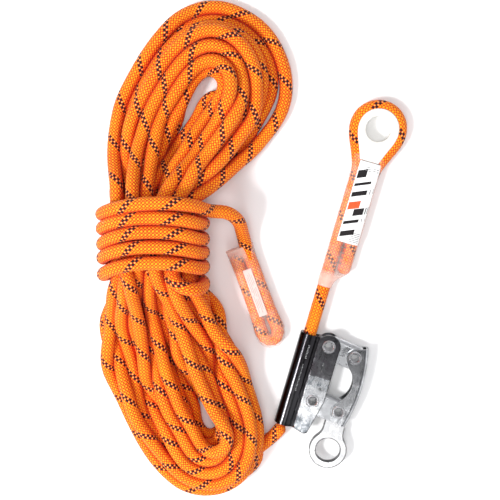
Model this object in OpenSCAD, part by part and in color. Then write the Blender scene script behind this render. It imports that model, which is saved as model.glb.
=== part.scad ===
// Rope grab: a double-cam fall arrester that slides on its own kernmantle lifeline.
// It lies on its side on a flat surface. +Y runs along the rope towards the anchor eye,
// +X runs from the rope tube to the coupler, +Z is up from the surface.

/* [Rope] */
// Diameter of the lifeline
rope_d = 12; // [11.5:0.1:12.2]
// Height of the rope's centre where it lies flat, sleeves included
rope_z = 7; // [6.8:0.1:7.4]
// Straight rope left above the rope tube
straight_above = 42; // [38:1:46]

/* [Housing] */
// Length of the rope tube
tube_l = 90; // [86:1:94]
// Bore of the rope tube
tube_bore_d = 13.4; // [13:0.1:13.8]
// Thickness of the housing's sheet
sheet = 2; // [1.6:0.1:2.2]
// Gap between the two cheeks of the housing and of the coupler
cheek_gap = 9.4; // [9.2:0.1:10]
// Distance from the rope's centre to the housing pins
pin_x = 20; // [19.8:0.1:20.6]
// Distance from the top of the tube to the upper housing pin
upper_pin_drop = 6.5; // [6:0.5:8]
// Distance between the two housing pins, and between the two coupler pins
pin_pitch = 53.8; // [52:0.2:55]

/* [Links] */
// Distance between the two pins of a link, across the rope
link_x = 26.2; // [25.6:0.1:26.6]
// Drop from the housing pin to the coupler pin
link_drop = 3.7; // [3:0.1:4.2]
// Thickness of the link brackets' sheet
link_sheet = 1.5; // [1.2:0.1:1.6]
// Outer width of the folded link brackets
link_w = 9; // [8.6:0.1:9]
// Thickness of the cams
cam_t = 6; // [5:0.1:6]

/* [Rivets] */
// Outer diameter of a rivet's barrel
barrel_d = 9.4; // [9:0.1:9.6]
// Hole through a tubular rivet
rivet_hole_d = 7.8; // [7:0.1:7.8]
// Diameter of a rivet's rolled head
rivet_head_d = 12.4; // [12:0.1:12.8]
// Height of a rivet's rolled head
rivet_head_h = 0.9; // [0.6:0.1:1]

/* [Eye plate] */
// Diameter of the attachment hole
eye_d = 23; // [22:0.5:24]
// Outer diameter of the attachment eye
eye_od = 35.4; // [34:0.2:36]
// Thickness of the eye plate
eye_t = 5; // [4.4:0.1:5]

/* [Hidden] */
$fn = 64;

rope_r = rope_d / 2;
tube_ir = tube_bore_d / 2;
tube_or = tube_ir + sheet;
half_gap = cheek_gap / 2;
cheek_out = half_gap + sheet;
hole_r = barrel_d / 2 + 0.1;
run_r = barrel_d / 2 + 0.15;

// Pins, measured from the centre of the tube's top end.
pin_a = [pin_x, -upper_pin_drop];
pin_c = pin_a - [0, pin_pitch];
pin_b = pin_a + [link_x, -link_drop];
pin_d = pin_b - [0, pin_pitch];
link_len = norm([link_x, link_drop]);
link_turn = -atan2(link_drop, link_x);

lobe_r = 10.8;
spine_r = 152.8;
spine_x = 61;
spine_y = -37;
eye_c = [47.4, -103.3];
eye_r = eye_od / 2;
fillet_r = 14;
neck_x = [37, 56.8];
// Centres of the concave fillets between the eye and the two sides of its neck.
function fillet_y(dx) = eye_c[1] + sqrt((eye_r + fillet_r) * (eye_r + fillet_r) - dx * dx);
fillet_c = [for (x = [neck_x[0] - fillet_r, neck_x[1] + fillet_r]) [x, fillet_y(x - eye_c[0])]];
fillet_foot = [for (c = fillet_c) eye_c + (c - eye_c) * (eye_r - 0.3) / (eye_r + fillet_r)];

// The origin is under the middle of the grab's own box, on the surface that it lies on.
mid_x = (eye_c[0] + eye_r - tube_or) / 2;
mid_y = (pin_a[1] + lobe_r + eye_c[1] - eye_r) / 2;

stainless = [0.72, 0.73, 0.75];
dark_steel = [0.45, 0.46, 0.48];
orange = [1, 0.5, 0.1];
clear = [1, 0.85, 0.8, 0.4];
white = [0.95, 0.95, 0.95];
black = [0.1, 0.1, 0.1];

// Points of an arc about a centre.
function arc(c, r, a0, a1, n = 8) =
    [for (i = [0:n]) let (a = a0 + (a1 - a0) * i / n) c + r * [cos(a), sin(a)]];

// Everything drawn from the tube's top end moves to the part's own origin here.
module place(z = tube_or) {
    translate([-mid_x, -mid_y, z]) children();
}

module slab(t, z = 0) {
    translate([0, 0, z - t / 2]) linear_extrude(t) children();
}

module at(p) {
    translate([p[0], p[1]]) children();
}

// A link's own frame: its housing pin at the origin, its coupler pin at [link_len, 0].
module link_frame(p) {
    translate([p[0], p[1], 0]) rotate(link_turn) children();
}

module both_sides() {
    children();
    mirror([0, 0, 1]) children();
}

// ---- sweep of a round tube along a route of [x, y, z] points ----
function unit(v) = v / norm(v);
function heading(p, i) =
    unit(p[min(i + 1, len(p) - 1)] - p[max(i - 1, 0)]);
function ring(p, i, r, sides) =
    let (t = heading(p, i), s = unit(cross(t, [0, 0, 1])), u = cross(s, t))
    [for (k = [0:sides - 1]) let (a = 360 * k / sides) p[i] + r * (cos(a) * s + sin(a) * u)];

module sweep_tube(p, r, sides = 10) {
    n = len(p);
    points = [for (i = [0:n - 1]) each ring(p, i, r, sides)];
    walls = [for (i = [0:n - 2], k = [0:sides - 1]) let (m = (k + 1) % sides)
        [i * sides + k, i * sides + m, (i + 1) * sides + m, (i + 1) * sides + k]];
    caps = [[for (k = [sides - 1:-1:0]) k], [for (k = [0:sides - 1]) (n - 1) * sides + k]];
    polyhedron(points, concat(walls, caps));
}

// ---- housing ----
cheek_left = 10.4;
taper_y = -58;
cheek_right = 30.5;
tip = [[23.4, -90.6], [22, -92.2], [19.8, -92.9]];
pad_top = -37;
pad_t = 0.5;

module cheek_outline() {
    difference() {
        union() {
            at(pin_a) circle(lobe_r);
            polygon([[cheek_left, -0.4], [pin_a[0], -0.4], [cheek_right, pin_a[1]],
                [cheek_right, taper_y], tip[0], tip[1], tip[2], [cheek_left, -90.2]]);
        }
        translate([0, -100]) square([cheek_left, 110]);
    }
}

module neck_outline() {
    polygon([[5.8, 3.3], [9.4, 3.3], [11, half_gap], [13, half_gap], [13, cheek_out],
        [10.4, cheek_out], [8.9, 5.3], [7, 5.1], [5.4, 6.3]]);
}

module pad_outline() {
    difference() {
        intersection() {
            cheek_outline();
            translate([0, -100]) square([40, 100 + pad_top]);
        }
        at(pin_c) circle(rivet_head_d / 2 + 0.4);
    }
}

module direction_arrow() {
    translate([21, -28]) polygon([[-1.1, -7], [1.1, -7], [1.1, 2], [3.4, 2], [0, 8], [-3.4, 2], [-1.1, 2]]);
}

module housing() color(stainless) place() {
    difference() {
        union() {
            rotate([90, 0, 0]) linear_extrude(tube_l) difference() {
                union() {
                    circle(tube_or);
                    neck_outline();
                    mirror([0, 1]) neck_outline();
                }
                circle(tube_ir);
                translate([0, -3.3]) square([20, 6.6]);
            }
            both_sides() slab(sheet, half_gap + sheet / 2) cheek_outline();
            both_sides() slab(pad_t, cheek_out + pad_t / 2) pad_outline();
        }
        for (p = [pin_a, pin_c]) at(p) cylinder(h = 30, r = hole_r, center = true);
        slab(0.6, cheek_out) direction_arrow();
    }
}

// ---- links: a hairpin of sheet with its fold on the anchor side, and a toothed cam ----
fold_r = link_w / 2;
fold_y = 10.9 - fold_r;
fold_x = [2, 30];
link_low = -12;

module bracket_cheek() {
    circle(8);
    translate([link_len, 0]) circle(7);
    polygon([[fold_x[0], fold_y], [fold_x[1], fold_y], [link_len + 6, 3.6], [link_len + 3, -6.3],
        [link_len - 1, link_low], [1, link_low], [-5, -6.2], [-6, 5.2]]);
}

module bracket(p) {
    link_frame(p) difference() {
        union() {
            both_sides() slab(link_sheet, fold_r - link_sheet / 2) bracket_cheek();
            translate([fold_x[0], fold_y, 0]) rotate([90, 0, 90]) linear_extrude(fold_x[1] - fold_x[0])
                difference() {
                    circle(fold_r);
                    circle(fold_r - link_sheet);
                    translate([-20, -10]) square([20, 20]);
                }
        }
        for (x = [0, link_len]) translate([x, 0, 0]) cylinder(h = 30, r = run_r, center = true);
    }
}

// The nose is a spiral about the pin, so that turning the link down presses it on the rope.
nose_r = 13.45;
nose_gain = 0.035;
teeth = 7;
function nose(a) = nose_r + nose_gain * (a - 180);

module cam(p) {
    translate([p[0], p[1], 0]) difference() {
        union() {
            cylinder(h = cam_t, r = 8.8, center = true);
            slab(cam_t) polygon(concat([[0, 0]], [for (a = [140:6:230]) nose(a) * [cos(a), sin(a)]]));
        }
        cylinder(h = 30, r = run_r, center = true);
        rotate(link_turn) translate([0, fold_y - 0.3, -10]) cube([20, 20, 20]);
        for (i = [0:teeth - 1]) let (a = 158 + i * 10)
            rotate(a) translate([nose(a) + 0.1, 0, 0]) rotate(45) cube([1.1, 1.1, 30], center = true);
    }
}

module upper_bracket() color(stainless) place() bracket(pin_a);
module lower_bracket() color(stainless) place() bracket(pin_c);
module upper_cam() color(dark_steel) place() cam(pin_a);
module lower_cam() color(dark_steel) place() cam(pin_c);

// ---- coupler: a channel bent along an arc, open towards the rope ----
window_c = [31, -37.5];
window_r = 20.6;

module coupler_blank() {
    difference() {
        union() {
            for (p = [pin_b, pin_d]) at(p) cylinder(h = 20, r = 8, center = true);
            slab(20) polygon([[43, -3], [57, 1.5], [70, 1.5], [70, -76.3], [50, -76.1], [41.2, -70.3],
                pin_d, [39.6, -59.5], [44.6, -53.2], [44.4, -22.2], [40, -15.2], pin_b]);
        }
        at(window_c) cylinder(h = 30, r = window_r, center = true);
    }
}

module channel() {
    translate([spine_x - spine_r, spine_y, 0]) rotate_extrude($fn = 180) difference() {
        polygon([[125, -cheek_out], [spine_r - 2, -cheek_out], [spine_r - 0.6, -cheek_out + 0.6],
            [spine_r, -cheek_out + 2], [spine_r, cheek_out - 2], [spine_r - 0.6, cheek_out - 0.6],
            [spine_r - 2, cheek_out], [125, cheek_out]]);
        translate([100, -half_gap]) square([spine_r - sheet - 100, cheek_gap]);
    }
}

module coupler() color(stainless) place() difference() {
    intersection() {
        channel();
        coupler_blank();
    }
    for (p = [pin_b, pin_d]) at(p) cylinder(h = 30, r = hole_r, center = true);
}

// ---- eye plate ----
module eye_neck() {
    difference() {
        slab(eye_t) polygon([[40, -68], [52.2, -67], [52.2, -77.6], [neck_x[1] - 1, -77.6],
            [neck_x[1], -78.6], [neck_x[1], fillet_c[1][1]], fillet_foot[1], eye_c, fillet_foot[0],
            [neck_x[0], fillet_c[0][1]], [neck_x[0], -72.6]]);
        for (c = fillet_c) at(c) cylinder(h = 30, r = fillet_r, center = true);
    }
}

module eye_plate() color(stainless) place() difference() {
    union() {
        at(pin_d) cylinder(h = eye_t, r = 7.3, center = true);
        at(eye_c) cylinder(h = eye_t, r = eye_r, center = true);
        eye_neck();
    }
    at(pin_d) cylinder(h = 30, r = run_r, center = true);
    at(eye_c) cylinder(h = 30, d = eye_d, center = true);
}

// ---- rivets, spacer, washers and spring ----
module rivet(p, seat) {
    at(p) difference() {
        union() {
            cylinder(h = 2 * seat, d = barrel_d, center = true);
            both_sides() translate([0, 0, seat]) rotate_extrude()
                polygon([[0, 0], [rivet_head_d / 2, 0], [rivet_head_d / 2, 0.3],
                    [rivet_head_d / 2 - 0.5, rivet_head_h], [0, rivet_head_h]]);
        }
        cylinder(h = 30, d = rivet_hole_d, center = true);
        both_sides() translate([0, 0, seat + rivet_head_h - 0.6])
            cylinder(h = 0.7, d1 = rivet_hole_d, d2 = rivet_hole_d + 1.4);
    }
}

module upper_housing_rivet() color(dark_steel) place() rivet(pin_a, cheek_out);
module lower_housing_rivet() color(dark_steel) place() rivet(pin_c, cheek_out);
module upper_coupler_rivet() color(dark_steel) place() rivet(pin_b, cheek_out);
module lower_coupler_rivet() color(dark_steel) place() rivet(pin_d, cheek_out);

module upper_spacer() color(dark_steel) place() at(pin_b) difference() {
    cylinder(h = 5.9, r = 5.5, center = true);
    cylinder(h = 30, r = run_r, center = true);
}

module eye_washers() color(white) place() at(pin_d) both_sides() translate([0, 0, eye_t / 2 + 0.05])
    difference() {
        cylinder(h = 0.4, r = 6.6);
        translate([0, 0, -1]) cylinder(h = 3, r = run_r);
    }

spring_r = 6.4;
spring_wire = 1.1;
spring_turns = 2.5;
spring_pitch = 1.4;
spring_h = spring_turns * spring_pitch;
spring_coil = [for (a = [0:15:360 * spring_turns])
    [spring_r * cos(90 + a), spring_r * sin(90 + a), a / 360 * spring_pitch - spring_h / 2]];
spring_route = concat([[-12, spring_r, -spring_h / 2], [-3, spring_r, -spring_h / 2]], spring_coil,
    [[3, -spring_r, spring_h / 2], [7, -spring_r, spring_h / 2]]);

module torsion_spring() color(dark_steel) place() link_frame(pin_b)
    sweep_tube(spring_route, spring_wire / 2, 8);

// ---- rope: the straight core in the grab, the eye, the lower end and the hank ----
// Routes run from the tube's top end and are heights above the surface.
core_low = -92;
tail_x = 13.2;
eye_route = [[0, straight_above, tube_or], [0, 52, 8.2], [0, 66, 7.3], [0, 84, rope_z], [0, 110, rope_z],
    [0, 136, rope_z], [0, 152, rope_z], [-1.6, 163, rope_z], [-6.6, 176, rope_z], [-11.8, 188, rope_z],
    [-13.4, 198, rope_z], [-10.8, 207.6, rope_z], [-3.6, 214.9, rope_z], [6.6, 217.7, rope_z],
    [16.8, 214.9, rope_z], [24, 207.6, rope_z], [26.6, 198, rope_z], [25, 188, rope_z],
    [19.8, 176, rope_z], [14.8, 163, rope_z], [tail_x, 152, rope_z], [tail_x, 136, rope_z],
    [tail_x, 110, rope_z], [tail_x, 84, rope_z], [tail_x, 62, rope_z]];
lower_route = [[0, core_low, tube_or], [-1.2, -97, 8.3], [-4.4, -104, 7.2], [-9.4, -112, rope_z],
    [-15.5, -121, rope_z], [-24, -131, rope_z]];

module rope_in_grab() color(orange) place() translate([0, straight_above, 0]) rotate([90, 0, 0])
    cylinder(h = straight_above - core_low, r = rope_r);

module rope_eye() color(orange) place(0) sweep_tube(eye_route, rope_r);
module rope_lower() color(orange) place(0) sweep_tube(lower_route, rope_r);

thimble_c = [6.6, 197.7];
thimble_hole_r = 11.5;

module eye_thimble() color(white) place(rope_z) difference() {
    union() {
        at(thimble_c) rotate_extrude() difference() {
            translate([thimble_hole_r - 1, -6.8]) square([10, 13.6]);
            translate([20.2, 0]) circle(6.3);
        }
        slab(13.4) polygon([[-3, 185], [16.2, 185], [9.6, 168], [3.6, 168]]);
    }
    at(thimble_c) cylinder(h = 30, r = thimble_hole_r, center = true);
    at(thimble_c) slab(30) polygon([[0, -14], [8, -7], [-8, -7]]);
}

module stadium(r, gap) {
    circle(r);
    translate([gap, 0]) circle(r);
    translate([0, -r]) square([gap, 2 * r]);
}

// A flat tube of clear film around two strands that lie side by side.
module film(l, gap, wall = 0.5) {
    rotate([90, 0, 0]) translate([0, 0, -l]) linear_extrude(l) difference() {
        stadium(rope_r + 0.2 + wall, gap);
        stadium(rope_r + 0.2, gap);
    }
}

module stitches(l, gap, step = 5) {
    for (y = [step:step:l - step]) both_sides()
        translate([gap / 2 - 2.3, y - 0.5, 4.5]) cube([4.6, 1, 0.8]);
}

sleeve_y = [47, 167];
label_y = [91, 167];
label_w = 20.5;

module eye_sleeve() color(clear) place(rope_z) translate([0, sleeve_y[0], 0])
    film(sleeve_y[1] - sleeve_y[0], tail_x);
module eye_label() color(white) place(rope_z) translate([9 - label_w / 2, label_y[0], rope_r + 0.7])
    cube([label_w, label_y[1] - label_y[0], 0.4]);
module eye_stitching() color(black) place(rope_z) translate([0, 66, 0]) stitches(84, tail_x);

// ---- hank: its own frame stands on the surface below the middle of the waist ----
hank_at = [-159.5, 47.2];
hank_turn = 15.7;
lobe_t = 46;
waist_y = [-31, 34];
waist_w = 104;
waist_h = 82;

module hank_frame() {
    translate([-mid_x, -mid_y, 0]) translate([hank_at[0], hank_at[1], 0]) rotate(hank_turn) children();
}

// A smooth closed or open outline through a few points.
function blend(a, b, c, d, t) = 0.5 * (2 * b + (c - a) * t + (2 * a - 5 * b + 4 * c - d) * t * t
    + (3 * b - a - 3 * c + d) * t * t * t);
function smooth(p, n = 4) =
    [for (i = [0:len(p) - 2], k = [0:n - 1]) blend(p[max(i - 1, 0)], p[i], p[i + 1],
        p[min(i + 2, len(p) - 1)], k / n), p[len(p) - 1]];

upper_lobe = [[-46, 34], [-44, 66], [-37, 99], [-24, 136], [-3, 172], [24, 198], [55, 207], [84, 200],
    [106, 182], [120, 156], [120, 128], [112, 104], [92, 82], [66, 56], [48, 34]];
lower_lobe = [[46, -31], [48, -50], [58, -104], [78, -140], [94, -170], [96, -196], [84, -222],
    [58, -240], [34, -238], [6, -224], [-20, -196], [-40, -152], [-48, -96], [-49, -50], [-48, -31]];

module rope_hank_upper() color(orange) hank_frame() linear_extrude(lobe_t) polygon(smooth(upper_lobe));
module rope_hank_lower() color(orange) hank_frame() linear_extrude(lobe_t) polygon(smooth(lower_lobe));

module rope_hank_wraps() color(orange) hank_frame() translate([0, waist_y[1], 0]) rotate([90, 0, 0])
    linear_extrude(waist_y[1] - waist_y[0]) union() {
        for (x = [-1, 1]) translate([x * (waist_w / 2 - 32), waist_h / 2]) intersection() {
            circle(waist_h / 2);
            translate([x > 0 ? -6 : -32, -waist_h / 2]) square([38, waist_h]);
        }
        translate([-26, 0]) square([52, waist_h]);
    }

// The end comes off the top wrap and is folded back on itself in a clear sleeve.
end_at = [-84.5, 58.5];
end_turn = 35.6;
end_gap = 12.2;
bight_y = -88;
end_z = rope_z;
// Points of the sleeved stretch are in its own frame, with -Y towards the fold.
function end_point(p) = [end_at[0] + p[0] * cos(end_turn) - p[1] * sin(end_turn),
    end_at[1] + p[0] * sin(end_turn) + p[1] * cos(end_turn), p[2]];
end_route = concat([[-118, 88.5, 46], [-104, 91, 39], [-92, 85, 27], [-85.5, 73, 14]],
    [for (p = [[6.1, -2, 8.6], [6.1, -20, 7.6], [6.1, -44, end_z], [6.6, -68, end_z], [7.8, -80, end_z],
        [6.4, -88.5, end_z], [0, -93, end_z], [-6.4, -88.5, end_z], [-7.8, -80, end_z],
        [-6.6, -68, end_z], [-6.1, -44, end_z], [-6.1, -20, 7.2], [-6.1, -3, 7.8]]) end_point(p)]);

module end_frame() {
    place(end_z) translate([end_at[0], end_at[1], 0]) rotate(end_turn) children();
}

module rope_end() color(orange) place(0) sweep_tube(end_route, rope_r);
module end_sleeve() color(clear) end_frame() translate([-end_gap / 2, bight_y, 0])
    film(-bight_y, end_gap);
module end_label() color(white) end_frame() translate([-4, -66, rope_r + 0.8]) cube([8, 46, 0.3]);
module end_stitching() color(black) end_frame() translate([-end_gap / 2, -72, 0]) stitches(52, end_gap);

housing();
upper_bracket();
upper_cam();
lower_bracket();
lower_cam();
coupler();
eye_plate();
upper_housing_rivet();
lower_housing_rivet();
upper_coupler_rivet();
lower_coupler_rivet();
upper_spacer();
torsion_spring();
eye_washers();
rope_in_grab();
rope_eye();
eye_thimble();
eye_sleeve();
eye_label();
eye_stitching();
rope_lower();
rope_hank_upper();
rope_hank_lower();
rope_hank_wraps();
rope_end();
end_sleeve();
end_label();
end_stitching();
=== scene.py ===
import math
import bpy
import numpy as np
from mathutils import Matrix, Vector


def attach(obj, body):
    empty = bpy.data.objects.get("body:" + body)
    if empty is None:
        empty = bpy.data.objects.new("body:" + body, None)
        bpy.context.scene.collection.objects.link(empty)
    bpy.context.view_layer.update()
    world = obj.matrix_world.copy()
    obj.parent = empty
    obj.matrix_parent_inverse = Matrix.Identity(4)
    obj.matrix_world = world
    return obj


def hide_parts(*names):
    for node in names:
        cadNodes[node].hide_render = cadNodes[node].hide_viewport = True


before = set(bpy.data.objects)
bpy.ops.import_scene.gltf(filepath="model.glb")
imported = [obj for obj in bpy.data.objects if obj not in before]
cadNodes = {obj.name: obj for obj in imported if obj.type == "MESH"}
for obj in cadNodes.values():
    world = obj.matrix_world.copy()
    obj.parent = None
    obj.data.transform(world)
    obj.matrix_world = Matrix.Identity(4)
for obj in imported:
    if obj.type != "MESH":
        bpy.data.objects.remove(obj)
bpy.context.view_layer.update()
print("frame loaded:", len(cadNodes), "nodes")

# Where the camera stands and what it looks at.
view = {
    "place": (-0.1112, 0.2495, 0.900),
    "target": (-0.1029, 0.1168, 0.0),
    "up": (-0.271, 0.963, 0.0),
    "lens": 70.44,
}


def makeCamera(v):
    # The axes come from the line of sight and the up direction.
    place, target = Vector(v["place"]), Vector(v["target"])
    ahead = (target - place).normalized()
    right = ahead.cross(Vector(v["up"])).normalized()
    up = right.cross(ahead)
    data = bpy.data.cameras.new("camera")
    data.lens = v["lens"]
    data.sensor_width = 36
    camera = bpy.data.objects.new("camera", data)
    bpy.context.collection.objects.link(camera)
    turn = Matrix((right, up, -ahead)).transposed().to_4x4()
    camera.matrix_world = Matrix.Translation(place) @ turn
    bpy.context.scene.camera = camera
    bpy.context.scene.view_settings.view_transform = "Standard"


makeCamera(view)
print("camera set")


def smoothCurve(points, perSpan=12):
    # Catmull-Rom: each span is a cubic through its two points, with slopes from their neighbours.
    p = np.asarray(points, float)
    p = np.vstack([2 * p[0] - p[1], p, 2 * p[-1] - p[-2]])
    t = np.linspace(0, 1, perSpan, endpoint=False)[None, :, None]
    a, b, c, d = (p[k:len(p) - 3 + k, None] for k in range(4))
    spans = 2 * b + (c - a) * t + (2 * a - 5 * b + 4 * c - d) * t**2 + (3 * b - a - 3 * c + d) * t**3
    spans *= 0.5
    return np.vstack([spans.reshape(-1, p.shape[1]), p[-2:-1]])


def lengthAlong(path):
    return np.concatenate([[0], np.cumsum(np.linalg.norm(np.diff(path, axis=0), axis=1))])


def evenly(path, step=None, count=None):
    # The same line, with its points one step apart.
    s = lengthAlong(path)
    count = count or int(round(s[-1] / step)) + 1
    u = np.linspace(0, s[-1], count)
    return np.stack([np.interp(u, s, path[:, k]) for k in range(path.shape[1])], 1)


def ringFrames(path):
    # Each ring's side is the first one, carried by the running product of the turns between tangents.
    tangent = np.gradient(path, axis=0)
    tangent /= np.linalg.norm(tangent, axis=1, keepdims=True)
    before, after = tangent[:-1], tangent[1:]
    axis = np.cross(before, after)
    cosine = (before * after).sum(1)[:, None, None]
    skew = np.zeros((len(axis), 3, 3))
    skew[:, 0, 1], skew[:, 0, 2], skew[:, 1, 2] = -axis[:, 2], axis[:, 1], -axis[:, 0]
    skew -= skew.transpose(0, 2, 1)
    turns = np.concatenate([np.eye(3)[None], np.eye(3) + skew + skew @ skew / (1 + cosine)])
    reach = 1
    while reach < len(turns):
        turns[reach:] = turns[reach:] @ turns[:-reach]
        reach *= 2
    first = np.cross(tangent[0], (0, 0, 1))
    side = turns @ (first / np.linalg.norm(first))
    side -= (side * tangent).sum(1, keepdims=True) * tangent
    side /= np.linalg.norm(side, axis=1, keepdims=True)
    return side, np.cross(tangent, side)


def addPiece(name, mesh):
    mesh.polygons.foreach_set("use_smooth", np.ones(len(mesh.polygons), bool))
    piece = bpy.data.objects.new(name, mesh)
    bpy.context.collection.objects.link(piece)
    return piece


def thicken(piece, thickness):
    # Gives the outer skin its thickness inwards.
    thick = piece.modifiers.new("thickness", "SOLIDIFY")
    thick.thickness = thickness
    thick.offset = -1


def gridMesh(name, rings, uv=None, closed=True, capped=False, endless=False):
    # Joins row after row of points with quads; a closed row meets its own start, and in an endless
    # mesh the last row meets the first.
    rows, cols = rings.shape[:2]
    a = np.arange(rows if endless else rows - 1)[:, None]
    b = np.arange(cols if closed else cols - 1)[None, :]
    corner = [(a, b), (a, b + 1), (a + 1, b + 1), (a + 1, b)]
    quads = np.stack([i % rows * cols + j % cols for i, j in corner], -1).reshape(-1, 4)
    faces = quads.tolist()
    if capped:
        faces += [list(range(cols))[::-1], list(range((rows - 1) * cols, rows * cols))]
    mesh = bpy.data.meshes.new(name)
    mesh.from_pydata(rings.reshape(-1, 3).tolist(), [], faces)
    if uv is not None:
        loops = np.stack([uv[i + 0 * j, j + 0 * i] for i, j in corner], -2).reshape(-1, 2)
        if capped:
            loops = np.vstack([loops, uv[0, :cols][::-1], uv[-1, :cols]])
        layer = mesh.uv_layers.new(name="wrap")
        layer.data.foreach_set("uv", loops.astype(np.float32).ravel())
    mesh.update()
    return addPiece(name, mesh)


def turned(points, place, degrees):
    # Points of a turned local frame, given in the row frame.
    angle = math.radians(degrees)
    p = np.asarray(points, float)
    x = place[0] + p[:, 0] * math.cos(angle) - p[:, 1] * math.sin(angle)
    y = place[1] + p[:, 0] * math.sin(angle) + p[:, 1] * math.cos(angle)
    return np.column_stack([x, y, p[:, 2]])


rope = {
    "diameter": 0.012,
    "ringStep": 0.0042,
    "sides": 22,
    "carriers": 12,     # yarns in each direction of the sheath
    "tracerYarns": 2,
    "endRound": 0.0045,     # length of the rounding at a cut end
    "crowdShadeShare": 0.42,     # how strongly neighbouring strands paint shade into the sheath's colour
    "undersideShadeShare": 0.34,      # and how strongly facing down paints shade into it
    "easeStep": 0.002,      # the hank's rope is eased on points so far apart
    "easeReach": 11,        # over so many of them
}
ropeR = rope["diameter"] / 2


def ropeTube(name, path, r=rope):
    # A circle carried along the path; its radius falls away as a quarter round at both cut ends.
    side, top = ringFrames(path)
    s = lengthAlong(path)
    angle = np.linspace(0, 2 * math.pi, r["sides"], endpoint=False)
    nearEnd = np.minimum(s, s[-1] - s)
    edge = np.clip(1 - nearEnd / r["endRound"], 0, 1)
    radius = ropeR * np.sqrt(1 - 0.75 * edge**2)
    ring = np.cos(angle)[None, :, None] * side[:, None] + np.sin(angle)[None, :, None] * top[:, None]
    points = path[:, None] + radius[:, None, None] * ring
    turn = np.linspace(0, 1, r["sides"] + 1)
    uv = np.stack(np.broadcast_arrays(s[:, None], turn[None, :]), -1)
    tube = gridMesh(name, points, uv, capped=True)
    # Painted shade between the strands and on the underside, kept on each point.
    paintedShade = tube.data.attributes.new("paintedShade", "FLOAT", "POINT")
    paintedShade.data.foreach_set("value", paintedCreviceShade(points, ring, path).astype(np.float32).ravel())
    return tube


def paintedCreviceShade(points, outward, path):
    # Painted shade between the strands and on the rope's underside. How deep a point lies among the
    # strands:
    # from a probe one radius out, the sum of 1 - (distance / diameter)^2 over the rope's own points near
    # it, plus a share for facing down.
    probe = (points + ropeR * outward).reshape(-1, 3).astype(np.float32)
    centres = path[::2].astype(np.float32)
    crowd = np.zeros(len(probe), np.float32)
    for start in range(0, len(probe), 8000):
        p = probe[start:start + 8000]
        square = (p**2).sum(1)[:, None] + (centres**2).sum(1)[None] - 2 * p @ centres.T
        crowd[start:start + 8000] = np.clip(1 - square / rope["diameter"]**2, 0, None).sum(1)
    down = 1 - outward.reshape(-1, 3)[:, 2]
    return np.clip(rope["crowdShadeShare"] * crowd + rope["undersideShadeShare"] * down, 0, 1)


# The route through the grab and round the eye, straight out of the device and then on the floor.
anchorRoute = [
    (-0.0282, -0.03365, 0.0087), (-0.0282, -0.010, 0.0087), (-0.0282, 0.020, 0.0087),
    (-0.0282, 0.050, 0.0087), (-0.0282, 0.080, 0.0087), (-0.0282, 0.10035, 0.0087),
    (-0.0282, 0.11035, 0.0082), (-0.0282, 0.12435, 0.0073), (-0.0282, 0.14235, 0.007),
    (-0.0282, 0.16835, 0.007), (-0.0282, 0.19435, 0.007), (-0.0282, 0.21035, 0.007),
    (-0.0298, 0.22135, 0.007), (-0.0348, 0.23435, 0.007), (-0.0400, 0.24635, 0.007),
    (-0.0416, 0.25635, 0.007), (-0.0390, 0.26595, 0.007), (-0.0318, 0.27325, 0.007),
    (-0.0216, 0.27605, 0.007), (-0.0114, 0.27325, 0.007), (-0.0042, 0.26595, 0.007),
    (-0.0016, 0.25635, 0.007), (-0.0032, 0.24635, 0.007), (-0.0084, 0.23435, 0.007),
    (-0.0134, 0.22135, 0.007), (-0.0150, 0.21035, 0.007), (-0.0150, 0.19435, 0.007),
    (-0.0150, 0.16835, 0.007), (-0.0150, 0.14235, 0.007), (-0.0150, 0.12035, 0.007),
]
# Out of the lower mouth of the tube and down to the floor, towards the hank.
lowerRoute = [
    (-0.0282, -0.03365, 0.0087), (-0.0294, -0.03865, 0.0083), (-0.0326, -0.04565, 0.0072),
    (-0.0376, -0.05365, 0.007), (-0.0437, -0.06265, 0.007), (-0.0522, -0.07265, 0.007),
]
stopper = {
    "place": (-0.1127, 0.11685),
    "turn": 35.6,
}
# From the top wrap down to the floor, then folded back on itself inside the clear sleeve.
endDrop = [(-0.1462, 0.14685, 0.046), (-0.1322, 0.14935, 0.039), (-0.1202, 0.14335, 0.027),
           (-0.1137, 0.13135, 0.014)]
endFold = [(0.0061, -0.002, 0.0086), (0.0061, -0.020, 0.0076), (0.0061, -0.044, 0.007),
           (0.0066, -0.068, 0.007), (0.0078, -0.080, 0.007), (0.0064, -0.0885, 0.007),
           (0, -0.093, 0.007), (-0.0064, -0.0885, 0.007), (-0.0078, -0.080, 0.007),
           (-0.0066, -0.068, 0.007), (-0.0061, -0.044, 0.007), (-0.0061, -0.020, 0.0072),
           (-0.0061, -0.003, 0.0078)]
endRoute = endDrop + turned(endFold, stopper["place"], stopper["turn"]).tolist()

# The hank has its own frame, on the floor below the middle of its waist.
hank = {
    "place": (-0.1877, 0.10555),
    "turn": 15.7,
    "loops": 13,
    "waistHeight": 0.041,
    "waistHalf": (0.0385, 0.029),
    "waistSquare": 2.6,         # exponent of the waist's rounded outline
    "tieMiddle": 0.0015,        # along the hank, where the tie grips and how its grip fades
    "tieReach": 0.040,
    "tieFade": 0.008,
    "columns": 0.0114,
    "layers": 0.0104,
    "upperLayer": (2, 0, 1, 2, 0, 1, 2, 0, 1, 2, 0, 1, 1),
    "lowerLayer": (1, 2, 0, 1, 2, 0, 1, 2, 0, 2, 1, 0),
}
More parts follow.
